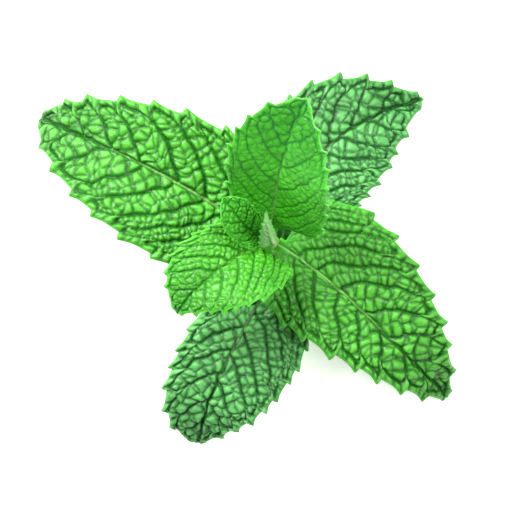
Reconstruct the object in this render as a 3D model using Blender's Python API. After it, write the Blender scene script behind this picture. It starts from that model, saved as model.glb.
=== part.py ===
"""Spearmint sprig: the leafy tip of one mint shoot, cut just below its lowest pair of leaves.

The sprig lies face up on the floor, z = 0, on the tips of its four big leaves and the cut end of its stem.
Mint leaves stand in crossed pairs: each pair is about a quarter turn from the pair below it.
Sizes are in millimetres and angles in degrees, and become metres and radians where objects are made.
Plan angles are counted from +X towards +Y. A climb is an angle above the horizontal.
"""

import math
from dataclasses import dataclass

import bmesh
import bpy
from mathutils import Vector

MM = 0.001

# The stem: a square mint stem that leans, thins upwards and swells a little at each pair of leaves.
STEM_TOP = 22.6  # height of the growing point
STEM_FOOT_WIDTH = 3.3  # across the flats at the cut
STEM_TOP_WIDTH = 1.0
STEM_LEAN_X = 5.4  # how far the cut end stands aside from the growing point
STEM_LEAN_Y = -4.9
NODE_SWELLING = 0.16  # extra width at a pair of leaves, as a share
NODE_SWELLING_REACH = 1.1
STEM_RING_POINTS = 16
STEM_RINGS = 17
STEM_SQUARENESS = 3.4  # exponent of the rounded square section
STEM_TURN = 146  # plan direction that one flat side faces

LOWER_PAIR = 7.2  # heights of the pairs of leaves along the stem
MIDDLE_PAIR = 15.0
UPPER_PAIR = 19.6
TIP_PAIR = 21.2

# The leaf blades.
JOIN_GAP = 0.3  # clear space between a leaf stalk and the stem
STALK_HALF_WIDTH = 1.5  # on a leaf of full thickness; a thin young leaf has a much narrower stalk
BLADE_SKIN = 0.55  # thickness of the blade between its veins
RIB_DEPTH = 1.0  # extra thickness of the midrib, which stands out below
RIB_HALF_WIDTH = 0.9
SPINE_STEPS = 60
COLUMNS = (0.0, 0.09, 0.34, 0.62, 0.86, 1.0)  # shares of the half width, from midrib to margin
TOOTH_TIP_PHASE = 0.84  # where a tooth ends, as a share of its spacing
TOOTH_GROWTH = 1.25  # above 1, the teeth stand further apart towards the tip
LOBE_LIMIT = 0.65  # how far back a lobe may reach, as a share of the distance from the stem


@dataclass
class Leaf:
    """One leaf. A triple gives a value at the stalk, halfway and at the tip."""

    name: str
    node: float  # height on the stem where it stands
    length: float
    widths: tuple  # widest reach of the left and the right half from the midrib
    headings: tuple  # plan direction of the midrib
    climbs: tuple
    rolls: tuple  # turn about the midrib; positive lifts the left half
    folds: tuple  # rise of the left and the right half from the midrib
    curls: tuple  # how much that rise grows from the midrib to the margin
    widest: tuple = (0.4, 0.4)  # where each half is widest, as a share of the blade's length
    bluntness: tuple = (2.0, 2.0)  # of each half: 1 is a straight sided tip, 3 a round one
    cup: float = 0.0  # extra fold at the base, which fades out towards the tip
    stalk: float = 1.6
    base: float = 0.62  # exponent of the base's outline: lower is rounder
    teeth: int = 9
    tooth: float = 1.2
    sweep: float = 0.26  # how far the margin runs ahead of the midrib
    lobe: float = 0.35  # how far it runs back beside the stalk
    ripple: float = 0.4  # height of the waves in the margin
    waves: float = 2.5
    ripple_phase: float = 0.0
    thickness: float = 1.0  # share of the full thickness
    colour: tuple = (0.07, 0.25, 0.04)


DEEP_GREEN = (0.045, 0.20, 0.035)
LEAF_GREEN = (0.075, 0.29, 0.035)
FRESH_GREEN = (0.12, 0.42, 0.03)
STEM_GREEN = (0.19, 0.42, 0.12)

LEAVES = (
    Leaf("lower_leaf_right", LOWER_PAIR, 45.5, (12.3, 12.0), (86, 42, 14), (26, -14.6, -19), (4, 6, 4),
         (14, 14), (-8, -16), (0.44, 0.34), (1.3, 1.9), ripple_phase=0.2, colour=DEEP_GREEN),
    Leaf("lower_leaf_front", LOWER_PAIR, 45.5, (12.8, 9.4), (248, 243, 266), (21, -4.5, -63), (0, 0, 0),
         (10, 12), (-14, -18), (0.31, 0.46), (1.8, 2.7), teeth=11, tooth=1.0, ripple_phase=0.6,
         colour=DEEP_GREEN),
    Leaf("middle_leaf_left", MIDDLE_PAIR, 59.0, (14.7, 13.4), (146, 153, 157), (6, -8.2, -71), (0, 0, 0),
         (12, 12), (-10, -14), (0.26, 0.26), (1.7, 1.5), stalk=0.7, base=0.5, lobe=1.1, colour=LEAF_GREEN),
    Leaf("middle_leaf_right", MIDDLE_PAIR, 51.5, (14.9, 11.9), (-31, -45, -41), (5, -12.7, -61), (0, 0, 0),
         (12, 12), (-14, -16), (0.20, 0.20), (1.4, 1.3), stalk=0.7, base=0.5, lobe=1.1, ripple_phase=0.4,
         colour=LEAF_GREEN),
    Leaf("upper_leaf_back", UPPER_PAIR, 36.0, (9.8, 11.6), (77, 80, 56), (60, 46, 20), (6, -16, 0),
         (14, 14), (4, 4), (0.50, 0.34), (2.3, 2.2), cup=7, stalk=1.3, teeth=10, tooth=0.9,
         ripple=0.3, colour=FRESH_GREEN),
    Leaf("upper_leaf_front", UPPER_PAIR, 26.0, (10.6, 8.0), (211, 217, 240), (62, 16, -36), (7, 10, 12),
         (12, 12), (-16, -20), (0.28, 0.50), (1.4, 2.1), cup=27, stalk=1.3, teeth=10,
         tooth=0.9, ripple=0.3, colour=FRESH_GREEN),
    Leaf("tip_leaf_left", TIP_PAIR, 15.0, (4.4, 4.0), (172, 134, 128), (60, 46, 16), (0, 0, 0), (26, 16),
         (30, 22), (0.5, 0.62), (2.6, 3.0), cup=0, stalk=0.6, teeth=7, tooth=0.35, ripple=0.1,
         thickness=0.7, colour=FRESH_GREEN),
    Leaf("tip_leaf_right", TIP_PAIR, 17.5, (1.8, 2.8), (-46, -70, -84), (74, 112, 134), (0, 0, 0),
         (30, 10), (40, 10), (0.20, 0.24), (1.3, 1.1), stalk=0.3, teeth=7, tooth=0.35, ripple=0.1,
         thickness=0.6, colour=FRESH_GREEN),
)


def between(triple, share):
    """The quadratic through a value at 0, at one half and at 1."""
    start, middle, end = triple
    return (
        start * (1 - share) * (1 - 2 * share)
        + middle * 4 * share * (1 - share)
        + end * share * (2 * share - 1)
    )


def stem_axis(height):
    """The stem's middle line, which straightens up towards the growing point."""
    bend = (1 - height / STEM_TOP) ** 1.5
    return Vector((STEM_LEAN_X * bend, STEM_LEAN_Y * bend, height))


def stem_width(height):
    share = height / STEM_TOP
    plain = STEM_FOOT_WIDTH + (STEM_TOP_WIDTH - STEM_FOOT_WIDTH) * share**1.6
    swelling = sum(
        math.exp(-(((height - node) / NODE_SWELLING_REACH) ** 2))
        for node in (LOWER_PAIR, MIDDLE_PAIR, UPPER_PAIR)
    )
    return plain * (1 + NODE_SWELLING * swelling)


def stem_reach(height, heading):
    """Distance from the middle line to the skin of the rounded square section, in a plan direction."""
    angle = math.radians(heading - STEM_TURN)
    corner = abs(math.cos(angle)) ** STEM_SQUARENESS + abs(math.sin(angle)) ** STEM_SQUARENESS
    return stem_width(height) / 2 / corner ** (1 / STEM_SQUARENESS)


def full_thickness(leaf):
    """Thickness of a leaf along its midrib at the stem."""
    return (BLADE_SKIN + RIB_DEPTH) * leaf.thickness


def unit(heading, climb):
    h, c = math.radians(heading), math.radians(climb)
    return Vector((math.cos(c) * math.cos(h), math.cos(c) * math.sin(h), math.sin(c)))


def spine_of(leaf):
    """Points along the midrib, one for each step from the stem to the tip."""
    outward = unit(leaf.headings[0], 0)
    axis = stem_axis(leaf.node)
    lean = stem_axis(leaf.node - full_thickness(leaf)) - axis
    reach = stem_reach(leaf.node, leaf.headings[0]) + max(0.0, lean.dot(outward))
    points = [axis + outward * (reach + JOIN_GAP)]
    step = leaf.length / SPINE_STEPS
    for i in range(SPINE_STEPS):
        share = (i + 0.5) / SPINE_STEPS
        direction = unit(between(leaf.headings, share), between(leaf.climbs, share))
        points.append(points[-1] + direction * step)
    return points


def spine_point(leaf, spine, distance):
    """The midrib's place at a distance from the stem, carried straight on past its tip."""
    place = max(0.0, distance / leaf.length * SPINE_STEPS)
    index = min(int(place), SPINE_STEPS - 1)
    return spine[index].lerp(spine[index + 1], place - index)


def half_width(leaf, distance, side):
    """Reach of one half of the blade: round at the base, widest before the middle, pointed at the tip."""
    share = (distance - leaf.stalk) / (leaf.length - leaf.stalk)
    stalk_half = STALK_HALF_WIDTH * leaf.thickness**2
    if share <= 0:
        return stalk_half
    index = 0 if side > 0 else 1
    widest = leaf.widest[index]
    if share < widest:
        blade = (1 - ((widest - share) / widest) ** 2.3) ** leaf.base
    else:
        blade = 1 - min(1.0, (share - widest) / (1 - widest)) ** leaf.bluntness[index]
    return max(leaf.widths[index] * blade, stalk_half * (1 - share))


def blade_point(leaf, spine, distance, side, column, tooth):
    """A point of the blade's upper face: side is 1 on the left of the midrib and -1 on the right."""
    share = min(1.0, max(0.0, (distance - leaf.stalk) / (leaf.length - leaf.stalk)))
    half = half_width(leaf, distance, side)
    across = column * half + tooth * column**6
    ahead = leaf.sweep * column * across * (math.sin(math.pi * share) - leaf.lobe * (1 - share) ** 4)
    at = distance + max(ahead, -LOBE_LIMIT * distance)
    along = min(1.0, at / leaf.length)
    heading, climb = between(leaf.headings, along), between(leaf.climbs, along)
    forward = unit(heading, climb)
    left = unit(heading + 90, 0)
    up = forward.cross(left)
    roll = math.radians(between(leaf.rolls, along))
    left, up = left * math.cos(roll) + up * math.sin(roll), up * math.cos(roll) - left * math.sin(roll)
    index = 0 if side > 0 else 1
    opening = min(1.0, share / 0.12)
    fold = math.radians(leaf.folds[index] + leaf.cup * (1 - share) ** 2) * opening
    curl = math.radians(leaf.curls[index]) * opening * across / leaf.widths[index]
    middle_angle = fold + curl / 2
    wave = leaf.ripple * column**2 * math.sin(2 * math.pi * (leaf.waves * share + leaf.ripple_phase * side))
    wave *= math.sin(math.pi * share)
    place = spine_point(leaf, spine, at)
    rise = across * math.sin(middle_angle) + wave
    return place + left * (side * across * math.cos(middle_angle)) + up * rise


def stations(leaf):
    """Distances along the midrib with the tooth height there: a notch and a tip for each tooth."""
    blade = leaf.length - leaf.stalk
    rows = [(0.0, 0.0), (leaf.stalk * 0.6, 0.0), (leaf.stalk + 0.02 * blade, 0.0)]
    for i in range(leaf.teeth):
        start, beyond = (0.04 + 0.94 * (j / leaf.teeth) ** TOOTH_GROWTH for j in (i, i + 1))
        if i:
            rows.append((leaf.stalk + blade * start, 0.0))
        end = start + TOOTH_TIP_PHASE * (beyond - start)
        rows.append((leaf.stalk + blade * end, leaf.tooth * min(1.0, (1 - end) / 0.1)))
    return rows


def material(name, colour, roughness=0.55):
    made = bpy.data.materials.new(name)
    made.use_nodes = True
    shader = made.node_tree.nodes["Principled BSDF"]
    shader.inputs["Base Color"].default_value = (*colour, 1.0)
    shader.inputs["Roughness"].default_value = roughness
    shader.inputs["Metallic"].default_value = 0.0
    made.diffuse_color = (*colour, 1.0)
    return made


def object_from(name, mesh_tool, colour):
    """An object made from a bmesh in millimetres, smooth shaded and scaled to metres."""
    mesh = bpy.data.meshes.new(name)
    mesh_tool.to_mesh(mesh)
    mesh_tool.free()
    mesh.materials.append(material(name + "_surface", colour))
    mesh.shade_smooth()
    made = bpy.data.objects.new(name, mesh)
    bpy.context.scene.collection.objects.link(made)
    return made


def build_leaf(leaf):
    """A toothed sheet, given its thickness downwards; the midrib is the thickest part of it."""
    spine = spine_of(leaf)
    sides = [(-1, c) for c in reversed(COLUMNS[1:])] + [(1, c) for c in COLUMNS]
    tool = bmesh.new()
    grid, weights = [], []
    for distance, tooth in stations(leaf):
        row = []
        fading = 1 - 0.75 * distance / leaf.length
        for side, column in sides:
            point = blade_point(leaf, spine, distance, side, column, tooth) * MM
            row.append(tool.verts.new(point))
            off_rib = column * half_width(leaf, distance, side) / RIB_HALF_WIDTH
            rib = RIB_DEPTH * fading * math.exp(-(off_rib**2))
            weights.append((BLADE_SKIN + rib) / (BLADE_SKIN + RIB_DEPTH))
        grid.append(row)
    for row, beyond in zip(grid, grid[1:]):
        for i in range(len(row) - 1):
            tool.faces.new((row[i], beyond[i], beyond[i + 1], row[i + 1]))
    tip = tool.verts.new(spine_point(leaf, spine, leaf.length) * MM)
    weights.append(BLADE_SKIN / (BLADE_SKIN + RIB_DEPTH))
    for near, far in zip(grid[-1], grid[-1][1:]):
        tool.faces.new((near, tip, far))
    made = object_from(leaf.name, tool, leaf.colour)
    group = made.vertex_groups.new(name="thickness")
    for index, weight in enumerate(weights):
        group.add([index], weight, "REPLACE")
    skin = made.modifiers.new("Solidify", "SOLIDIFY")
    skin.thickness = full_thickness(leaf) * MM
    skin.offset = -1.0
    skin.vertex_group = group.name
    return made


def build_stem():
    """A rounded square section carried up the leaning middle line, cut flat below and round at the top."""
    tool = bmesh.new()
    rings = []
    for i in range(STEM_RINGS):
        height = STEM_TOP * i / (STEM_RINGS - 1)
        middle = stem_axis(height)
        ring = []
        for j in range(STEM_RING_POINTS):
            heading = STEM_TURN + 360 * j / STEM_RING_POINTS
            ring.append(tool.verts.new((middle + unit(heading, 0) * stem_reach(height, heading)) * MM))
        rings.append(ring)
    tool.faces.new(reversed(rings[0]))
    for ring, above in zip(rings, rings[1:]):
        for j in range(STEM_RING_POINTS):
            k = (j + 1) % STEM_RING_POINTS
            tool.faces.new((ring[j], ring[k], above[k], above[j]))
    peak = tool.verts.new((stem_axis(STEM_TOP) + Vector((0, 0, STEM_TOP_WIDTH / 2))) * MM)
    for j in range(STEM_RING_POINTS):
        tool.faces.new((rings[-1][j], rings[-1][(j + 1) % STEM_RING_POINTS], peak))
    return object_from("stem", tool, STEM_GREEN)


def stand_on_origin(objects):
    """Moves the sprig so that the middle of its box is over the origin and its lowest point is at z = 0."""
    graph = bpy.context.evaluated_depsgraph_get()
    points = []
    for made in objects:
        evaluated = made.evaluated_get(graph)
        points += [vertex.co.copy() for vertex in evaluated.to_mesh().vertices]
        evaluated.to_mesh_clear()
    low = Vector([min(p[i] for p in points) for i in range(3)])
    high = Vector([max(p[i] for p in points) for i in range(3)])
    for made in objects:
        made.location = (-(low.x + high.x) / 2, -(low.y + high.y) / 2, -low.z)


def main():
    for old in list(bpy.data.objects):
        bpy.data.objects.remove(old)
    objects = [build_stem()] + [build_leaf(leaf) for leaf in LEAVES]
    bpy.context.view_layer.update()
    stand_on_origin(objects)


main()
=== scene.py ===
"""The looks of a spearmint sprig: the tip of one shoot, lying face up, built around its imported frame.

The script follows the sprig from its stem outwards: the stem first, then each pair of leaves from the lowest
and oldest to the youngest at the growing point, then the floor, the light and the camera.
Lengths are in millimetres and angles in degrees until a mesh is made.
"""

import math

import bpy
import numpy as np
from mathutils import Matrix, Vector


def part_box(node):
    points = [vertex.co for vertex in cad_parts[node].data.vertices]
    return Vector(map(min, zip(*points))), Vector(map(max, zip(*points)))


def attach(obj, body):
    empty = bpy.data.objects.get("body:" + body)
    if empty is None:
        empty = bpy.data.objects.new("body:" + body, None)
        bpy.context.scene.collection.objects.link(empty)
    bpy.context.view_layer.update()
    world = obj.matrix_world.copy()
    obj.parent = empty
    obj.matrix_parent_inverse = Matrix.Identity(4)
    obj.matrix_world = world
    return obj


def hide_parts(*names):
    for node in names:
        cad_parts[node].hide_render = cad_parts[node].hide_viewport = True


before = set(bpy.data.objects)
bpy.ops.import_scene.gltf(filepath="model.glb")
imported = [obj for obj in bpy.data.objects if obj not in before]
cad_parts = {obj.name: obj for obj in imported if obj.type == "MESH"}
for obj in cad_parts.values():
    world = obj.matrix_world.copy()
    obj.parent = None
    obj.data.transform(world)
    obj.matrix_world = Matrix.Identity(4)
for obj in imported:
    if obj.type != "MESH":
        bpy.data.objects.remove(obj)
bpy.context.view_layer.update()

MM = 0.001


# ---------------------------------------------------------------------------------------------------------
# Stem. A mint stem is square, with four rounded angles and a shallow trough along each side, and it swells
# at each pair of leaves. It is living green tissue, finely downy, and it was snapped off just below the
# lowest pair, so its foot shows a green skin round a pale, spongy pith.

STEM_TOP = 22.6  # height of the growing point
STEM_FOOT_WIDTH, STEM_TOP_WIDTH = 3.3, 1.0
STEM_LEAN = (5.4, -4.9)  # how far the broken foot stands aside from the growing point
STEM_SQUARENESS = 3.4  # exponent of the rounded square section
STEM_TURN = 146  # plan direction that one flat side faces
PAIR_HEIGHTS = {"lower": 7.2, "middle": 15.0, "upper": 19.6, "tip": 21.2}
SWOLLEN_PAIRS = ("lower", "middle", "upper")
SWELLING, SWELLING_REACH = 0.16, 1.1  # extra width at a pair of leaves, as a share, and how far it spreads
SCAR_HEIGHT, SCAR_REACH = 0.05, 0.22  # the line round the stem between the two leaves of a pair
TROUGH_DEPTH, TROUGH_REACH = 0.07, 17  # along each flat side: a share of the width, and degrees round
FINE_RIBS, FINE_RIB_HEIGHT = 32, 0.012  # strands of the cortex that show through the skin
TOP_DOME, FOOT_HOLLOW = 0.45, 0.18  # rise of the middle of each end above its rim
SIDES_ROUND, RINGS_UP, END_RINGS = 96, 110, 5
END_RING_STEP = 0.15  # on a cylinder of radius 1


def stem_axis(height):
    """The stem's middle line, which straightens up towards the growing point."""
    bend = np.clip(1 - height / STEM_TOP, 0, 1) ** 1.5
    return np.stack([STEM_LEAN[0] * bend, STEM_LEAN[1] * bend, height + 0 * bend], -1)


def stem_reach(height, heading):
    """Distance from the middle line to the skin of the rounded square, in a plan direction."""
    share = height / STEM_TOP
    width = STEM_FOOT_WIDTH + (STEM_TOP_WIDTH - STEM_FOOT_WIDTH) * share**1.6
    for pair in SWOLLEN_PAIRS:
        width = width * (1 + SWELLING * np.exp(-(((height - PAIR_HEIGHTS[pair]) / SWELLING_REACH) ** 2)))
    angle = np.radians(heading - STEM_TURN)
    corner = np.abs(np.cos(angle)) ** STEM_SQUARENESS + np.abs(np.sin(angle)) ** STEM_SQUARENESS
    return width / 2 / corner ** (1 / STEM_SQUARENESS)


def plan_direction(heading):
    angle = np.radians(heading)
    return np.stack([np.cos(angle), np.sin(angle), 0 * angle], -1)


# The frame says where the stem stands: its lowest corner is matched to the same corner of the plain stem.
rings, turns = np.meshgrid(np.linspace(0, STEM_TOP, 17), STEM_TURN + np.arange(16) * 22.5, indexing="ij")
plain_stem = stem_axis(rings) + plan_direction(turns) * stem_reach(rings, turns)[..., None]
STAND = np.array(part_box("stem")[0]) / MM - plain_stem.reshape(-1, 3).min(axis=0)


def linear(hex_colour):
    """An sRGB hex colour as the linear colour that a shader takes."""
    values = [int(hex_colour[i : i + 2], 16) / 255 for i in (1, 3, 5)]
    return (*(v / 12.92 if v <= 0.04045 else ((v + 0.055) / 1.055) ** 2.4 for v in values), 1.0)


def add_node(tree, kind, settings=None, links=None, **values):
    """Adds a node: settings are its properties, links feed its inputs and values set them."""
    made = tree.nodes.new(kind)
    for name, value in (settings or {}).items():
        setattr(made, name, value)
    for name, value in values.items():
        made.inputs[name.replace("_", " ")].default_value = value
    for name, socket in (links or {}).items():
        tree.links.new(socket, made.inputs[name])
    return made


MIX_SHARE, MIX_BELOW, MIX_ABOVE, MIX_RESULT = 0, 6, 7, 2  # places of a Mix node's colour sockets


def layered_colour(tree, ground, *layers):
    """Lays colours over a ground colour. A layer is how much of it shows, a socket, and its colour.
    A colour is a hex colour or a socket."""
    below = ground
    for share, above in layers:
        mix = add_node(tree, "ShaderNodeMix", {"data_type": "RGBA"})
        tree.links.new(share, mix.inputs[MIX_SHARE])
        for index, colour in ((MIX_BELOW, below), (MIX_ABOVE, above)):
            if isinstance(colour, str):
                mix.inputs[index].default_value = linear(colour)
            else:
                tree.links.new(colour, mix.inputs[index])
        below = mix.outputs[MIX_RESULT]
    return below


def mottle(tree, size_mm, low=0.0, high=1.0):
    """Soft blotches of a real size, from Object coordinates, spread between two values."""
    place = add_node(tree, "ShaderNodeTexCoord").outputs["Object"]
    noise = add_node(tree, "ShaderNodeTexNoise", None, {"Vector": place}, Scale=1 / MM / size_mm, Detail=2.0)
    spread = {"From_Min": 0.35, "From_Max": 0.65, "To_Min": low, "To_Max": high}
    blotches = add_node(tree, "ShaderNodeMapRange", None, {"Value": noise.outputs["Fac"]}, **spread)
    return blotches.outputs["Result"]


def add_grain(tree, shader, strength):
    """The grain of a downy skin, a third of a millimetre across and a twentieth deep."""
    grain = {"Height": mottle(tree, 0.3)}
    bump = add_node(tree, "ShaderNodeBump", None, grain, Strength=strength, Distance=0.05 * MM)
    tree.links.new(bump.outputs["Normal"], shader.inputs["Normal"])


def plant_tissue(name, roughness):
    """A new material with the index of refraction of plant wax and wet cell walls."""
    made = bpy.data.materials.new(name)
    made.use_nodes = True
    shader = made.node_tree.nodes["Principled BSDF"]
    shader.inputs["Roughness"].default_value = roughness
    shader.inputs["IOR"].default_value = 1.45
    return made, made.node_tree, shader


# Young mint stem skin: a waxy, finely downy epidermis over green cortex. Pale green in soft patches, freckled
# with the still paler down; the wax gives it a soft satin shine.
stem_skin, tree, shader = plant_tissue("young_mint_stem_skin", 0.45)
patches, down = mottle(tree, 3.0), mottle(tree, 0.35, high=0.35)
green = layered_colour(tree, "#6fae4c", (patches, "#8cc565"), (down, "#a9d88a"))
tree.links.new(green, shader.inputs["Base Color"])
shader.inputs["Subsurface Weight"].default_value = 0.15
shader.inputs["Subsurface Radius"].default_value = (0.6, 1.0, 0.3)
shader.inputs["Subsurface Scale"].default_value = 0.5 * MM
add_grain(tree, shader, 0.25)

# Pith: the spongy, water-filled tissue that a broken stem shows. Nearly white with faint green, and wet.
stem_pith, tree, shader = plant_tissue("mint_stem_pith", 0.35)
pale = layered_colour(tree, "#cfe3b0", (mottle(tree, 0.25), "#e6f0cf"))
tree.links.new(pale, shader.inputs["Base Color"])
shader.inputs["Subsurface Weight"].default_value = 0.2
shader.inputs["Subsurface Scale"].default_value = 0.5 * MM

# The stem starts as a cylinder of radius 1. Only its upright edges are cut, in edge mode, so that each end
# stays one face until its rings are inset.
bpy.ops.object.select_all(action="DESELECT")
bpy.ops.mesh.primitive_cylinder_add(vertices=SIDES_ROUND, radius=1.0, depth=STEM_TOP, end_fill_type="NGON")
stem = bpy.context.object
stem.name = "square_stem"
bpy.ops.object.mode_set(mode="EDIT")
bpy.ops.mesh.select_all(action="DESELECT")
bpy.ops.object.mode_set(mode="OBJECT")
bpy.context.tool_settings.mesh_select_mode = (False, True, False)
for edge in stem.data.edges:
    low, high = (stem.data.vertices[i].co.z for i in edge.vertices)
    edge.select = low != high
bpy.ops.object.mode_set(mode="EDIT")
bpy.ops.mesh.subdivide(number_cuts=RINGS_UP)
bpy.ops.mesh.select_all(action="DESELECT")
bpy.ops.object.mode_set(mode="OBJECT")
bpy.context.tool_settings.mesh_select_mode = (False, False, True)
for face in stem.data.polygons:
    face.select = abs(face.normal.z) > 0.9
bpy.ops.object.mode_set(mode="EDIT")
for _ in range(END_RINGS):
    bpy.ops.mesh.inset(thickness=END_RING_STEP)
bpy.ops.object.mode_set(mode="OBJECT")

# Then each of its points moves to its place on the real stem.
points = np.empty(len(stem.data.vertices) * 3)
stem.data.vertices.foreach_get("co", points)
points = points.reshape(-1, 3)
height = points[:, 2] + STEM_TOP / 2
heading = np.degrees(np.arctan2(points[:, 1], points[:, 0]))
inward = np.minimum(np.hypot(points[:, 0], points[:, 1]), 1.0)
from_flat = (heading - STEM_TURN + 45) % 90 - 45
skin = stem_reach(height, heading)
skin = skin * (1 - TROUGH_DEPTH * np.exp(-((from_flat / TROUGH_REACH) ** 2)))
skin = skin + FINE_RIB_HEIGHT * np.sin(np.radians(heading * FINE_RIBS))
for pair in SWOLLEN_PAIRS:
    skin = skin + SCAR_HEIGHT * np.exp(-(((height - PAIR_HEIGHTS[pair]) / SCAR_REACH) ** 2))
at_top = (height > STEM_TOP - 1e-6) * (1 - inward)
at_foot = (height < 1e-6) * (1 - inward)
points = stem_axis(height) + plan_direction(heading) * (skin * inward)[:, None] + STAND
points[:, 2] += at_top * TOP_DOME + at_foot * FOOT_HOLLOW
stem.data.vertices.foreach_set("co", (points * MM).ravel())
stem.data.materials.append(stem_skin)
stem.data.materials.append(stem_pith)
for face in stem.data.polygons:
    near_foot = max(stem.data.vertices[i].co.z for i in face.vertices) < (FOOT_HOLLOW + 0.01) * MM
    face.material_index = int(near_foot and face.normal.z < -0.5)
bpy.ops.object.shade_smooth_by_angle(angle=math.radians(50))
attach(stem, "root")
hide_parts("stem")


# ---------------------------------------------------------------------------------------------------------
# Lowest pair of leaves. A mint leaf is one living sheet about a third of a millimetre thick: a midrib,
# side veins that leave it in pairs and sweep forward, and a net of smaller veins. The tissue between the
# veins grew faster than they did, so it stands up in pillows. The margin is cut into forward pointing teeth.

SPINE_STEPS = 60
JOIN_GAP = 0.3  # between the stem's skin and the start of a leaf's midrib
RIB_THICKNESS = 1.55  # of the plain leaf, along its midrib at the stem
STALK_HALF_WIDTH = 1.5  # on a leaf of full thickness; a thin young leaf has a much narrower stalk
CLASP = 0.9  # how far the foot of a leaf runs on, past its start, into the skin of the stem
LOBE_LIMIT = 0.65  # how far back a lobe may reach, as a share of the distance from the stem
FIRST_TOOTH, TOOTHED_SHARE = 0.04, 0.94  # where the teeth start, and how much of the margin they take up
TOOTH_POINT, TOOTH_FALL = 0.84, 0.16  # a tooth rises along most of its length, and falls back in the rest

# Heights of the relief of a full grown leaf.
STRIP_RISE, STRIP_CROWN = 0.20, 0.14  # the strip between two side veins, with its rounded back
RIB_RISE = 0.26  # the ribs that cross a strip
BUMP_RISE, GRAIN_RISE = 0.44, 0.09  # the bumps between the smallest veins, and the grain on each of them
UNEVEN_RISE = 0.12  # between one bump and the next
CREASE_DEPTH = 0.05
VEIN_DEPTH = 0.55  # below the plain leaf; the bumps stand about as far above it
GROOVE_DEPTH, GROOVE_REACH = 0.2, 0.5  # along the midrib
RIDGE_HEIGHT, RIDGE_REACH = 0.12, 0.22  # the midrib itself, in its groove
FURROW_REACH = 0.15  # of the dark line along a side vein, as a share of a pillow
RIM_REACH = 0.3  # width of the pale margin

# Thickness of the blade between its veins, and what the side veins and the midrib add to it below.
BLADE_THICKNESS, VEIN_THICKNESS, THICKEST = 0.34, 0.12, 1.15
RIM_THINNING = 0.35  # share of its thickness that the blade loses at the margin


def between(triple, share):
    """The quadratic through a value at 0, at one half and at 1."""
    start, middle, end = triple
    rest = 1 - share
    return start * rest * (1 - 2 * share) + middle * 4 * share * rest + end * share * (2 * share - 1)


def direction(heading, climb):
    """The way a line runs that has this plan direction and this angle above the horizontal."""
    h, c = np.radians(heading), np.radians(climb)
    return np.stack([np.cos(c) * np.cos(h), np.cos(c) * np.sin(h), np.sin(c)], -1)


def soft_step(value, low, high):
    """Runs smoothly from 0 to 1 between two values."""
    t = np.clip((value - low) / (high - low), 0, 1)
    return t * t * (3 - 2 * t)


def crumple(x, y, size, seed):
    """A smooth random field between about -1 and 1 whose waves are size long."""
    draw = np.random.default_rng(seed)
    total, waves = 0, 9
    for _ in range(waves):
        turn, phase = draw.uniform(0, 2 * np.pi, 2)
        rate = 2 * np.pi / (size * draw.uniform(0.75, 1.5))
        total = total + np.sin((x * np.cos(turn) + y * np.sin(turn)) * rate + phase)
    return total / (waves / 2)


def nearest_cells(points, seeds):
    """For each point the index of its nearest seed, and its distance from the edge of that seed's cell."""
    squares = ((points[:, None] - seeds[None]) ** 2).sum(-1)
    order = np.argsort(squares, axis=1)[:, :2]
    pick = np.arange(len(points))
    apart = np.linalg.norm(seeds[order[:, 0]] - seeds[order[:, 1]], axis=1)
    edge = (squares[pick, order[:, 1]] - squares[pick, order[:, 0]]) / (2 * np.maximum(apart, 1e-6))
    return order[:, 0], edge


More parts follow.
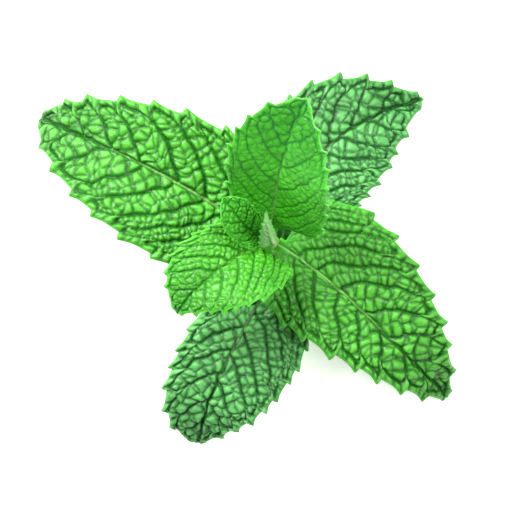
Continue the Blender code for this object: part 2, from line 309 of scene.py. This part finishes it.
class Blade:
    """The growth of one leaf. A triple gives a value at the stalk, halfway and at the tip; a pair gives the
    left and the right half."""

    stalk = 1.6  # how far out the blade starts
    foot = STALK_HALF_WIDTH
    base_fullness = 0.62  # lower is rounder
    cup = 0.0  # extra fold at the base, which fades out towards the tip
    teeth, tooth = 9, 1.3  # number on each side, and how far they stand out
    tooth_growth = 1.25  # above 1, the teeth stand further apart towards the tip
    sweep, lobe = 0.26, 0.35  # how far the margin runs ahead, and back beside the stalk
    ripple, waves, ripple_phase = 0.4, 2.5, 0.0  # height, number and start of the waves in the margin
    pillow = 1.0  # share of the full height of the pillows
    cell = 2.0  # size of a pillow
    ring = 2.1  # how far inside the margin the side veins loop together
    vein_spacing = 5.6  # of the side veins along the midrib
    mesh_step = 0.2
    thickness = 1.0  # share of the full thickness

    def __init__(self, **sizes):
        for name, value in sizes.items():
            setattr(self, name, value)

    def spine(self):
        """Points along the midrib. It starts clear of the stem, which may lean out under the leaf."""
        outward = plan_direction(np.array(float(self.headings[0])))
        axis = stem_axis(np.array(self.node))
        lean = stem_axis(np.array(self.node - RIB_THICKNESS * self.thickness)) - axis
        reach = stem_reach(self.node, self.headings[0]) + max(0.0, float(lean @ outward))
        share = (np.arange(SPINE_STEPS) + 0.5) / SPINE_STEPS
        steps = direction(between(self.headings, share), between(self.climbs, share))
        start = axis + outward * (reach + JOIN_GAP)
        walk = np.cumsum(steps, axis=0) * self.length / SPINE_STEPS
        return np.vstack([start, start + walk])

    def half_width(self, distance, side):
        """Distance from the midrib to the margin, before its teeth are cut, at a distance from the stem."""
        share = (distance - self.stalk) / (self.length - self.stalk)
        left = side > 0
        widest = np.where(left, *self.widest)
        base = np.clip(1 - np.clip((widest - share) / widest, 0, 1) ** 2.3, 0, 1) ** self.base_fullness
        tip = 1 - np.clip((share - widest) / (1 - widest), 0, 1) ** np.where(left, *self.bluntness)
        blade = np.where(left, *self.widths) * np.where(share < widest, base, tip)
        stalk = self.foot * self.thickness**2
        return np.where(share <= 0, stalk, np.maximum(blade, stalk * (1 - share)))

    def tooth_at(self, distance, side, draw_seed):
        """How far the margin stands out, and how far its point leans ahead, at a distance from the stem."""
        draw = np.random.default_rng(draw_seed)
        share = (distance - self.stalk) / (self.length - self.stalk)
        out, ahead = np.zeros_like(share), np.zeros_like(share)
        for s in (-1, 1):
            steps = np.arange(self.teeth + 1.0)
            steps[1:-1] += draw.uniform(-0.14, 0.14, self.teeth - 1)
            starts = FIRST_TOOTH + TOOTHED_SHARE * (steps / self.teeth) ** self.tooth_growth
            sizes = self.tooth * draw.uniform(0.75, 1.1, self.teeth)
            for start, end, size in zip(starts, starts[1:], sizes):
                phase = (share - start) / (end - start)
                inside = (phase >= 0) & (phase < 1) & (side == s)
                size = size * min(1.0, (1 - end) / 0.1 + 0.3)  # the last teeth are smaller
                risen = np.clip(phase / TOOTH_POINT, 0, 1)
                rise = 0.22 * risen + 0.78 * risen**4
                fall = np.clip((1 - phase) / TOOTH_FALL, 0, 1) ** 1.2
                out = np.where(inside, size * np.minimum(rise, fall), out)
                hook = 0.55 * size * np.exp(-(((phase - 0.86) / 0.12) ** 2))
                ahead = np.where(inside, hook, ahead)
        return out, ahead

    def sheet(self, distance, side, column, seed):
        """The smooth upper face: places on the flat leaf, distances from its margin, and true places."""
        spine = self.spine()
        share = np.clip((distance - self.stalk) / (self.length - self.stalk), 0, 1)
        half = self.half_width(distance, side)
        tooth, hook = self.tooth_at(distance, side, seed)
        across = column * half + tooth * column**8
        ahead = self.sweep * column * across * (np.sin(np.pi * share) - self.lobe * (1 - share) ** 4)
        at = distance + np.maximum(ahead, -LOBE_LIMIT * np.maximum(distance, 0)) + hook * column**10
        along = np.clip(at / self.length, 0, 1)
        heading, climb = between(self.headings, along), between(self.climbs, along)
        forward = direction(heading, climb)
        left = direction(heading + 90, 0 * climb)
        up = np.cross(forward, left)
        roll = np.radians(between(self.rolls, along))[..., None]
        left, up = left * np.cos(roll) + up * np.sin(roll), up * np.cos(roll) - left * np.sin(roll)
        opening = np.minimum(1, share / 0.12)
        fold = np.radians(np.where(side > 0, *self.folds) + self.cup * (1 - share) ** 2) * opening
        curl = np.radians(np.where(side > 0, *self.curls)) * opening
        curl = curl * across / np.where(side > 0, *self.widths)
        middle_angle = fold + curl / 2
        wave = np.sin(2 * np.pi * (self.waves * share + self.ripple_phase * side)) * np.sin(np.pi * share)
        rise = across * np.sin(middle_angle) + self.ripple * column**2 * wave
        place = at / self.length * SPINE_STEPS
        index = np.clip(np.floor(place).astype(int), 0, SPINE_STEPS - 1)
        rest = (place - index)[..., None]
        true = spine[index] * (1 - rest) + spine[index + 1] * rest
        true = true + left * (side * across * np.cos(middle_angle))[..., None] + up * rise[..., None]
        return at, side * across, half * (1 - column) + tooth * (1 - column**8), true

    def relief(self, x, y, margin, along_margin, seed):
        """Height of the pillows over the flat leaf, and how strong the furrow of a vein is there."""
        draw = np.random.default_rng(seed)
        coarse = self.cell

        # The side veins are curves that leave the midrib at a slope and bend forward. Each point knows where
        # the vein through it would leave the midrib, its root, and how far along that vein it lies.
        x = x + 0.28 * coarse * crumple(x, y, 2.6 * coarse, seed + 1)
        out = np.abs(y + 0.16 * coarse * crumple(x, y, 2.4 * coarse, seed + 2))
        start_slope, bend, spread = 0.42, 0.9 / max(self.widths), 0.4 / self.length
        root = (x - start_slope * out - bend * out**2) / (1 + spread * out)
        slope = start_slope + spread * root + 2 * bend * out
        lean = 1 / np.sqrt(1 + slope**2)
        reach = out * np.sqrt(1 + (start_slope + bend * out) ** 2)
        half = np.sign(y + 1e-9)
        vein_edge, rib_edge, bump_edge, fine_edge = (np.full(x.shape, 9.0) for _ in range(4))
        lift, crown, size = np.zeros(x.shape), np.zeros(x.shape), np.full(x.shape, coarse)

        def break_up(here, across, along, width, step):
            """Cuts a strip into ribs that cross it, and the ribs into bumps."""
            if here.sum() < 3:
                return
            length = along.max() - along.min()
            count = max(2, int(np.ceil(length / (1.15 * step))))
            steps = np.arange(count + 1) + draw.uniform(-0.25, 0.25, count + 1)
            cuts = along.min() + steps * length / count
            skew = along + draw.uniform(-0.35, 0.35) * (across - width / 2)
            skew = skew + 0.16 * step * np.sin(across / step * 2.4 + draw.uniform(0, 6))
            which = np.clip(np.searchsorted(cuts, skew) - 1, 0, count - 1)
            rib_edge[here] = np.clip(np.minimum(skew - cuts[which], cuts[which + 1] - skew), 0, None)
            lift[here] = 0.6 * draw.uniform(-1, 1, count)[which]
            size[here] = step
            flat = np.stack([across, along], -1)
            for pitch, target in ((0.98 * step, bump_edge), (0.46 * step, fine_edge)):
                rows, columns = max(1, round(width / pitch)), int(length / pitch) + 3
                seeds = np.array([
                    ((row + 0.5) / rows * width, along.min() + (column - 0.5) * pitch)
                    for row in range(rows)
                    for column in range(columns)
                ])
                seeds = seeds + draw.uniform(-0.33, 0.33, seeds.shape) * pitch
                which, target[here] = nearest_cells(flat, seeds)
                if target is bump_edge:
                    lift[here] += draw.uniform(-1, 1, len(seeds))[which]

        # Near the margin the side veins loop into each other: inside the loops lie the strips between two
        # side veins, and outside them runs one more strip, along the margin.
        for side in (-1, 1):
            roots = [-1.6 * self.vein_spacing]
            while roots[-1] < 1.3 * self.length:
                share = min(1.0, max(0.0, roots[-1] / self.length))
                grow = 0.5 + 0.75 * math.sin(math.pi * (0.08 + 0.75 * share))
                roots.append(roots[-1] + self.vein_spacing * grow * draw.uniform(0.8, 1.2))
            roots = np.array(roots)
            place = np.interp(root, roots, np.arange(len(roots)))
            part = place - np.floor(place)
            loop = self.ring * (0.55 + 1.0 * (2 * part - 1) ** 4)
            loop = loop * (1 + 0.2 * crumple(x, y, 2.2 * self.ring, seed + 4 + side))
            for strip in range(len(roots) - 1):
                here = (half == side) & (place >= strip) & (place < strip + 1) & (margin >= loop)
                if here.sum() < 3:
                    continue
                gap = (roots[strip + 1] - roots[strip]) * (1 + spread * out[here])
                width = gap * lean[here]
                to_side_vein = np.minimum(part[here], 1 - part[here]) * width
                vein_edge[here] = np.minimum(to_side_vein, 1.2 * (margin - loop)[here])
                crown[here] = 1 - (2 * part[here] - 1) ** 2
                along = reach[here] + (part[here] - 0.5) * gap * slope[here] * lean[here]
                step = coarse * (0.72 + 0.65 * np.clip(np.median(x[here]) / self.length, 0, 1))
                break_up(here, part[here] * np.median(width), along, float(np.median(width)), step)
            here = (half == side) & (margin < loop)
            vein_edge[here] = 1.2 * (loop - margin)[here]
            crown[here] = 0.8 * np.sin(np.pi * np.clip(margin[here] / loop[here], 0, 1)) ** 0.7
            break_up(here, margin[here], along_margin[here], self.ring, 1.15 * coarse)
        vein_edge = np.minimum(vein_edge, out * 1.1)

        def puff(edge, wide):
            """Rises steeply from 0 at a vein and levels out at 1; wide is a share of a pillow."""
            return (1 - (1 - np.clip(edge / (wide * size), 0, 1)) ** 2) ** 0.8

        height = STRIP_RISE * puff(vein_edge, 0.6) + STRIP_CROWN * crown
        height = height + RIB_RISE * puff(rib_edge, 0.45) * puff(vein_edge, 0.4)
        height = height + BUMP_RISE * puff(bump_edge, 0.46) * puff(vein_edge, 0.35)
        height = height + GRAIN_RISE * puff(fine_edge, 0.2)
        height = height + UNEVEN_RISE * lift * puff(np.minimum(vein_edge, bump_edge), 0.5)
        height = height - CREASE_DEPTH * np.abs(crumple(x, y, 1.1 * coarse, seed + 3)) * coarse / 2
        # The furrow mask below also paints shade into the vein furrows of the upper face.
        reach = FURROW_REACH * size
        furrow = np.exp(-((vein_edge / reach) ** 2))
        furrow = np.maximum(furrow, 0.8 * np.exp(-((rib_edge / (0.8 * reach)) ** 2)))
        furrow = np.maximum(furrow, 0.75 * np.exp(-((bump_edge / (0.8 * reach)) ** 2)))
        return height, furrow


def grow_leaf(node, blade, upper, under, seed):
    """Makes a leaf as a fine sheet with its pillows, then gives it its thickness and its ribs below."""
    rows = int(blade.length / blade.mesh_step)
    columns = int(sum(blade.widths) / blade.mesh_step / 2) * 2
    bpy.ops.object.select_all(action="DESELECT")
    bpy.ops.mesh.primitive_grid_add(x_subdivisions=columns, y_subdivisions=rows, size=2)
    leaf = bpy.context.object
    leaf.name = node + "_blade"
    flat = np.empty(len(leaf.data.vertices) * 3)
    leaf.data.vertices.foreach_get("co", flat)
    flat = flat.reshape(rows + 1, columns + 1, 3)
    column, side = np.abs(flat[..., 0]), np.where(flat[..., 0] < 0, 1, -1)
    last_row = blade.length * 0.9995  # just short of the tip, where the two margins would meet
    distance = -CLASP + (flat[..., 1] + 1) / 2 * (last_row + CLASP)
    x, y, margin, true = blade.sheet(distance, side, column, seed)
    shape = x.shape
    edge_x = np.where(side > 0, x[:, :1], x[:, -1:])
    edge_y = np.where(side > 0, y[:, :1], y[:, -1:])
    steps = np.hypot(np.diff(edge_x, axis=0, prepend=0), np.diff(edge_y, axis=0, prepend=0))
    along_margin = np.cumsum(steps, axis=0)
    domes, vein = blade.relief(x.ravel(), y.ravel(), margin.ravel(), along_margin.ravel(), seed)
    domes, vein = domes.reshape(shape), vein.reshape(shape)
    out = np.abs(y)
    share = np.clip(x / blade.length, 0, 1)
    # The pillows die away at the margin, near the stem, at the tip and along the stalk.
    lively = soft_step(margin, -0.1, 0.7) * (0.5 + 0.5 * soft_step(x, 0.5, 0.15 * blade.length))
    lively = lively * (1 - 0.4 * soft_step(share, 0.92, 1.0))
    lively = lively * soft_step(distance, blade.stalk * 0.6, blade.stalk + 1.5)
    groove = np.exp(-((out / GROOVE_REACH) ** 2)) * (1 - 0.4 * share)
    ridge = np.exp(-((out / RIDGE_REACH) ** 2)) * (1 - share)
    height = blade.pillow * ((domes - VEIN_DEPTH) * lively - GROOVE_DEPTH * groove + RIDGE_HEIGHT * ridge)
    height = height - 0.10 * blade.thickness * np.exp(-((margin / 0.35) ** 2))  # the margin is rounded off
    ahead, aside = np.gradient(true, axis=0), np.gradient(true, axis=1)
    normal = np.cross(aside, ahead)
    normal = normal / np.maximum(np.linalg.norm(normal, axis=-1, keepdims=True), 1e-9)
    true = true + normal * height[..., None]
    true = true + STAND
    leaf.data.vertices.foreach_set("co", (true * MM).ravel())
    masks = {
        # relief: the pillow tops, where the upper face is painted light.
        "relief": soft_step(domes, 0.3, 1.05) * lively,
        # vein: the furrows, where the upper face is painted dark as shade; it also thickens the blade at the
        # veins.
        "vein": vein * lively,
        "rib": np.exp(-((out / (0.18 - 0.09 * share)) ** 2)) * (1 - soft_step(share, 0.15, 0.7)),
        # rim: the margin, which is thinned and where the upper face is painted light let through the thin
        # margin.
        "rim": np.exp(-((margin / RIM_REACH) ** 2)),
        "along": share,
    }
    for mask, values in masks.items():
        kept_values = leaf.data.attributes.new(mask, "FLOAT", "POINT").data
        kept_values.foreach_set("value", values.astype(np.float32).ravel())
    leaf.data.materials.append(upper)
    leaf.data.materials.append(under)
    bpy.ops.object.mode_set(mode="EDIT")
    bpy.ops.mesh.select_all(action="SELECT")
    bpy.ops.mesh.remove_doubles(threshold=0.002 * MM)
    bpy.ops.mesh.select_all(action="DESELECT")
    bpy.ops.object.mode_set(mode="OBJECT")
    ribs = leaf.vertex_groups.new(name="ribs")
    kept = len(leaf.data.vertices)
    rib, veins, rims, alongs = (np.empty(kept, np.float32) for _ in range(4))
    for values, mask in ((rib, "rib"), (veins, "vein"), (rims, "rim"), (alongs, "along")):
        leaf.data.attributes[mask].data.foreach_get("value", values)
    full = THICKEST * blade.thickness
    plain = BLADE_THICKNESS * blade.thickness
    thick = plain * (1 - RIM_THINNING * rims) + VEIN_THICKNESS * veins * (1 - rims)
    thick = thick + (full - plain) * np.sqrt(rib) * (1 - alongs)
    for index, value in enumerate(np.clip(thick / full, 0, 1)):
        ribs.add([index], float(value), "REPLACE")
    skin = leaf.modifiers.new("Thickness", "SOLIDIFY")
    skin.thickness = full * MM
    skin.offset = -1.0
    skin.vertex_group = ribs.name
    skin.material_offset = 1
    skin.material_offset_rim = 0
    bpy.ops.object.modifier_apply(modifier=skin.name)
    leaf.vertex_groups.clear()
    bpy.ops.object.shade_smooth()
    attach(leaf, "root")
    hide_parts(node)
    return leaf


# Each is the shares of a leaf's length between which a tint grows from nothing to its most, and that most.
NEAR_BASE, NEAR_TIP, AT_TIP = (0.42, 0.0, 0.8), (0.4, 0.95, 0.85), (0.5, 0.95, 0.4)


def leaf_masks(tree, *names):
    """The masks that grow_leaf left on a leaf's points, each as a socket."""
    nodes = [add_node(tree, "ShaderNodeAttribute", {"attribute_name": name}) for name in names]
    return [node.outputs["Fac"] for node in nodes]


def leaf_face(name, furrow_shade_and_blotch, body, crown, base, tip, rim, rib, furrow_shade_strength=0.75):
    """Upper face of a mint leaf: a thin waxy skin over green tissue with a pale midrib. Shade is painted dark
    into the vein furrows, light is painted pale on the pillow tops, and a pale band painted along the margin
    stands for light let through the thin margin."""
    made, tree, shader = plant_tissue(name, 0.42)
    shader.inputs["Specular IOR Level"].default_value = 0.4
    along, pillow_top_light, furrow_shade_mask, margin_light, on_rib = leaf_masks(tree, "along", "relief", "vein", "rim", "rib")
    tints = []
    for start, end, most in (NEAR_BASE, NEAR_TIP, AT_TIP):
        spread = {"From_Min": start, "From_Max": end, "To_Max": most}
        tints.append(add_node(tree, "ShaderNodeMapRange", None, {"Value": along}, **spread).outputs["Result"])
    near_base, near_tip, at_tip = tints
    clouds, freckles = mottle(tree, 5.0, high=0.35), mottle(tree, 0.5, high=0.3)
    # Painted shade: the furrow mask, scaled by its strength, darkens the vein furrows towards the darkest
    # colour.
    furrow = add_node(tree, "ShaderNodeMath", {"operation": "MULTIPLY"}, {0: furrow_shade_mask})
    furrow.inputs[1].default_value = furrow_shade_strength
    # Clouds and freckles are the tissue's own uneven tone. Painted light: the crown colour on the pillow tops
    # and the rim colour along the thin margin. Painted shade: the darkest colour in the vein furrows.
    green = layered_colour(
        tree, body, (near_base, base), (near_tip, tip), (pillow_top_light, crown), (at_tip, tip), (clouds, furrow_shade_and_blotch),
        (freckles, crown), (furrow.outputs[0], furrow_shade_and_blotch), (margin_light, rim), (on_rib, rib))
    tree.links.new(green, shader.inputs["Base Color"])
    tree.links.new(mottle(tree, 0.6, low=0.28, high=0.48), shader.inputs["Roughness"])
    shader.inputs["Subsurface Weight"].default_value = 0.08
    shader.inputs["Subsurface Radius"].default_value = (0.5, 1.0, 0.2)
    shader.inputs["Subsurface Scale"].default_value = 0.5 * MM
    add_grain(tree, shader, 0.6)
    return made


def leaf_back(name, tissue, net):
    """Underside of a mint leaf: matt, paler because air lies behind its skin, with veins that stand out."""
    made, tree, shader = plant_tissue(name, 0.6)
    on_vein, on_rib = leaf_masks(tree, "vein", "rib")
    down = mottle(tree, 0.4, high=0.4)
    green = layered_colour(tree, tissue, (down, net), (on_vein, net), (on_rib, "#c2dfa0"))
    tree.links.new(green, shader.inputs["Base Color"])
    shader.inputs["Subsurface Weight"].default_value = 0.18
    shader.inputs["Subsurface Radius"].default_value = (0.5, 1.0, 0.2)
    shader.inputs["Subsurface Scale"].default_value = 0.6 * MM
    return made


# In each leaf face, the darkest colour is painted shade in the vein furrows as well as the tone of random
# blotches, the crown colour is painted light on the pillow tops as well as the tone of random freckles, and
# the rim colour is painted light let through the thin margin.
old_face = leaf_face("old_mint_leaf_face", furrow_shade_and_blotch="#023c08", body="#105a18", crown="#60b05c", base="#186c16",
                     tip="#1c6626", rim="#48a830", rib="#9cc890")
old_back = leaf_back("old_mint_leaf_back", "#7fae72", "#a3c893")

lower_leaf_right = Blade(
    node=PAIR_HEIGHTS["lower"], length=45.5, widths=(12.3, 12.0), headings=(86, 42, 14),
    climbs=(26, -14.6, -19), rolls=(4, 6, 4), folds=(14, 14), curls=(-8, -16), widest=(0.44, 0.34),
    bluntness=(1.3, 1.9), teeth=9, ripple_phase=0.2, cell=1.9, vein_spacing=5.0, pillow=1.05, ring=2.4)
lower_leaf_front = Blade(
    node=PAIR_HEIGHTS["lower"], length=45.5, widths=(12.8, 9.4), headings=(248, 243, 266),
    climbs=(21, -4.5, -63), rolls=(0, 0, 0), folds=(10, 12), curls=(-14, -18), widest=(0.31, 0.46),
    bluntness=(1.8, 2.7), teeth=11, tooth=1.1, ripple_phase=0.6, cell=1.75, vein_spacing=4.8, pillow=1.15,
    ring=2.2)
grow_leaf("lower_leaf_right", lower_leaf_right, old_face, old_back, 11)
grow_leaf("lower_leaf_front", lower_leaf_front, old_face, old_back, 23)


# ---------------------------------------------------------------------------------------------------------
# Middle pair. The largest and just full grown leaves, a quarter turn from the pair below. Their tissue is
# brighter, their pillows are the boldest, and their midribs are pale near the stem.

# As in the pair below: painted shade in the furrows, painted light on the pillow tops and along the margin.
full_face = leaf_face("full_grown_mint_leaf_face", furrow_shade_and_blotch="#024402", body="#126808", crown="#58b638",
                      base="#30960a", tip="#105816", rim="#44b418", rib="#88c068")
full_back = leaf_back("full_grown_mint_leaf_back", "#86b873", "#aad094")

middle_leaf_left = Blade(
    node=PAIR_HEIGHTS["middle"], length=59.0, widths=(14.7, 13.4), headings=(146, 153, 157),
    climbs=(6, -8.2, -71), rolls=(0, 0, 0), folds=(12, 12), curls=(-10, -14), widest=(0.26, 0.26),
    bluntness=(1.7, 1.5), teeth=9, stalk=0.7, lobe=1.1, base_fullness=0.5, cell=2.1, vein_spacing=6.4,
    pillow=1.15, ring=2.6)
middle_leaf_right = Blade(
    node=PAIR_HEIGHTS["middle"], length=51.5, widths=(14.9, 11.9), headings=(-31, -45, -41),
    climbs=(5, -12.7, -61), rolls=(0, 0, 0), folds=(12, 12), curls=(-14, -16), widest=(0.20, 0.20),
    bluntness=(1.4, 1.3), teeth=9, stalk=0.7, lobe=1.1, base_fullness=0.5, ripple_phase=0.4, cell=2.0,
    vein_spacing=5.6, pillow=1.15, ring=2.6)
grow_leaf("middle_leaf_left", middle_leaf_left, full_face, full_back, 37)
grow_leaf("middle_leaf_right", middle_leaf_right, full_face, full_back, 41)


# ---------------------------------------------------------------------------------------------------------
# Upper pair. Half grown leaves, still soft, thin and yellow green. Their pillows are small and shallow,
# and the blade is cupped round the growing point where it leaves the stem.

# As in the pairs below: painted shade in the furrows, painted light on the pillow tops and along the margin.
young_face = leaf_face("young_mint_leaf_face", furrow_shade_and_blotch="#084c02", body="#1a7606", crown="#50ac2a",
                       base="#228604", tip="#1c7418", rim="#50b828", rib="#60ac34", furrow_shade_strength=0.35)
# The standing back leaf gets its own brighter copy of the young leaf's colours, most of all near its base:
# painted light for the lamp shining through the thin standing leaf.
backlight_painted_face = leaf_face("standing_mint_leaf_face_painted_backlight", furrow_shade_and_blotch="#084c04", body="#208a0c", crown="#48b026",
                        base="#38a800", tip="#0c5c24", rim="#54b838", rib="#88cc58", furrow_shade_strength=0.2)
young_back = leaf_back("young_mint_leaf_back", "#8cc274", "#aed596")

upper_leaf_back = Blade(
    node=PAIR_HEIGHTS["upper"], length=36.0, widths=(9.8, 11.6), headings=(77, 80, 56), climbs=(60, 46, 20),
    rolls=(6, -16, 0), folds=(14, 14), curls=(4, 4), widest=(0.50, 0.34), bluntness=(2.3, 2.2), cup=7,
    teeth=10, stalk=1.3, tooth=0.9, ripple=0.3, cell=1.35, vein_spacing=4.4, pillow=0.26, ring=1.7,
    mesh_step=0.15)
# The front leaf's wide foot clasps the stem, so that no gap shows beside the growing point.
upper_leaf_front = Blade(
    node=PAIR_HEIGHTS["upper"], length=26.0, widths=(10.6, 8.0), headings=(211, 217, 240),
    climbs=(62, 16, -36), rolls=(7, 10, 12), folds=(12, 12), curls=(-16, -20), widest=(0.28, 0.50),
    bluntness=(1.4, 2.1), cup=27, teeth=10, stalk=0.7, foot=2.8, lobe=1.0, base_fullness=0.5, tooth=0.9,
    ripple=0.3, cell=1.25, vein_spacing=3.6, pillow=0.6, ring=1.5, mesh_step=0.13)
grow_leaf("upper_leaf_back", upper_leaf_back, backlight_painted_face, young_back, 53)
grow_leaf("upper_leaf_front", upper_leaf_front, young_face, young_back, 59)


# ---------------------------------------------------------------------------------------------------------
# Tip pair. The youngest open leaves. One is a small crinkled cup; the other is still folded over the growing
# point and shows its pale, downy back.

# As in the pairs below: painted shade in the furrows, painted light on the pillow tops and along the margin.
tip_face = leaf_face("tip_mint_leaf_face", furrow_shade_and_blotch="#064404", body="#1c840c", crown="#58bc34",
                     base="#187404", tip="#209018", rim="#44a428", rib="#3c8c20", furrow_shade_strength=0.3)
tip_back = leaf_back("tip_mint_leaf_back", "#5cac48", "#8cc87c")

tip_leaf_left = Blade(
    node=PAIR_HEIGHTS["tip"], length=15.0, widths=(4.4, 4.0), headings=(172, 134, 128), climbs=(60, 46, 16),
    rolls=(0, 0, 0), folds=(26, 16), curls=(30, 22), widest=(0.5, 0.62), bluntness=(2.6, 3.0), teeth=7,
    stalk=0.6, tooth=0.35, ripple=0.1, thickness=0.7, cell=1.0, vein_spacing=2.4, pillow=0.42, ring=1.0,
    mesh_step=0.08)
tip_leaf_right = Blade(
    node=PAIR_HEIGHTS["tip"], length=17.5, widths=(1.8, 2.8), headings=(-46, -70, -84), climbs=(74, 112, 134),
    rolls=(0, 0, 0), folds=(30, 10), curls=(40, 10), widest=(0.20, 0.24), bluntness=(1.3, 1.1), teeth=7,
    stalk=0.3, tooth=0.35, ripple=0.1, thickness=0.6, cell=0.7, vein_spacing=1.6, pillow=0.25, ring=0.7,
    mesh_step=0.09)
grow_leaf("tip_leaf_left", tip_leaf_left, tip_face, tip_back, 67)
grow_leaf("tip_leaf_right", tip_leaf_right, tip_face, tip_back, 71)


# ---------------------------------------------------------------------------------------------------------
# Floor, light and camera. A plain white table, one large soft lamp high on the far left, a weaker one on the
# right and an even sky. The camera looks straight down on the sprig.

TABLE_WIDTH = 4000
LIT_PLACE = (0, 0, 20)  # where both lamps point

# Matt white painted board. It glows a little, so that it stays white and the sprig's shadow on it soft.
table = bpy.data.materials.new("white_table_top")
table.use_nodes = True
shader = table.node_tree.nodes["Principled BSDF"]
shader.inputs["Roughness"].default_value = 0.7
shader.inputs["IOR"].default_value = 1.45
shader.inputs["Base Color"].default_value = linear("#f4f4f2")
shader.inputs["Emission Color"].default_value = linear("#ffffff")
shader.inputs["Emission Strength"].default_value = 0.4
bpy.ops.object.select_all(action="DESELECT")
bpy.ops.mesh.primitive_plane_add(size=TABLE_WIDTH * MM)
floor = bpy.context.object
floor.name = "floor"
floor.data.materials.append(table)


def soft_lamp(name, place, size, power):
    """A square lamp that points at the sprig; its power is in watts."""
    bpy.ops.object.light_add(type="AREA", location=Vector(place) * MM)
    lamp = bpy.context.object
    lamp.name = name
    lamp.data.size = size * MM
    lamp.data.energy = power
    lamp.rotation_euler = (Vector(LIT_PLACE) - Vector(place)).to_track_quat("-Z", "Y").to_euler()


soft_lamp("key_lamp", (-420, 500, 620), 550, 20.0)
soft_lamp("fill_lamp", (500, -50, 700), 450, 6.0)

world = bpy.data.worlds.new("studio")
bpy.context.scene.world = world
world.use_nodes = True
world.node_tree.nodes["Background"].inputs["Color"].default_value = (1.0, 1.0, 1.0, 1.0)
world.node_tree.nodes["Background"].inputs["Strength"].default_value = 0.25
bpy.context.scene.view_settings.view_transform = "Standard"

CAMERA_HEIGHT, CAMERA_ASIDE = 450, (-2.13, -3.87)  # above the floor, and aside from the growing point
VIEW_WIDTH, VIEW_HEIGHT = 102.4, 8  # as wide as this at about the middle height of the big leaves
SENSOR_WIDTH = 36
growing_point = STAND[:2]
camera_place = Vector((growing_point[0] + CAMERA_ASIDE[0], growing_point[1] + CAMERA_ASIDE[1], CAMERA_HEIGHT))
bpy.ops.object.camera_add(location=camera_place * MM, rotation=(0, 0, 0))
camera = bpy.context.object
camera.data.sensor_width = SENSOR_WIDTH
camera.data.lens = (CAMERA_HEIGHT - VIEW_HEIGHT) / VIEW_WIDTH * SENSOR_WIDTH
camera.data.clip_start, camera.data.clip_end = 0.01, 10.0
bpy.context.scene.camera = camera
